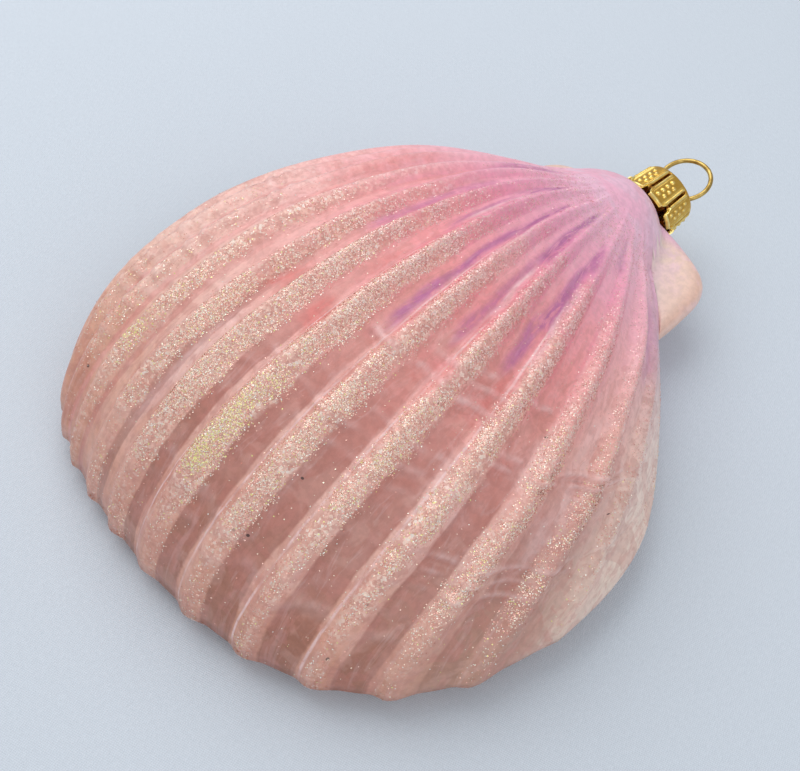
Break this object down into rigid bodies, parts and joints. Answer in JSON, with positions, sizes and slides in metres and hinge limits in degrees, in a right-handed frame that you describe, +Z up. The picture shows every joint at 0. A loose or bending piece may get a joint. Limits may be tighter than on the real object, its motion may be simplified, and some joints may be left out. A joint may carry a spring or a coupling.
{
  "type": "scallop shell ornament",
  "caption": "Hollow blown-glass hanging ornament shaped as a ribbed scallop shell with two ears, with a gold cap and a wire loop.",
  "frame": {"origin": "centre of the base of the bounding box, on the surface that the ornament lies on", "axes": "+Y along the length of the shell, from the scalloped margin towards the cap and loop; +Z up, out of the domed valve"},
  "size_m": [0.0968, 0.122, 0.0392],
  "materials": {
    "painted_glass": "painted and lacquered, satin gloss, opaque",
    "gold_lacquer": "bright stamped",
    "spring_brass": "drawn wire",
    "glitter": "iridescent flakes"
  },
  "bodies": {
    "root": {"glass_shell": "painted_glass", "cap": "gold_lacquer", "hanger": "spring_brass"}
  },
  "joints": []
}
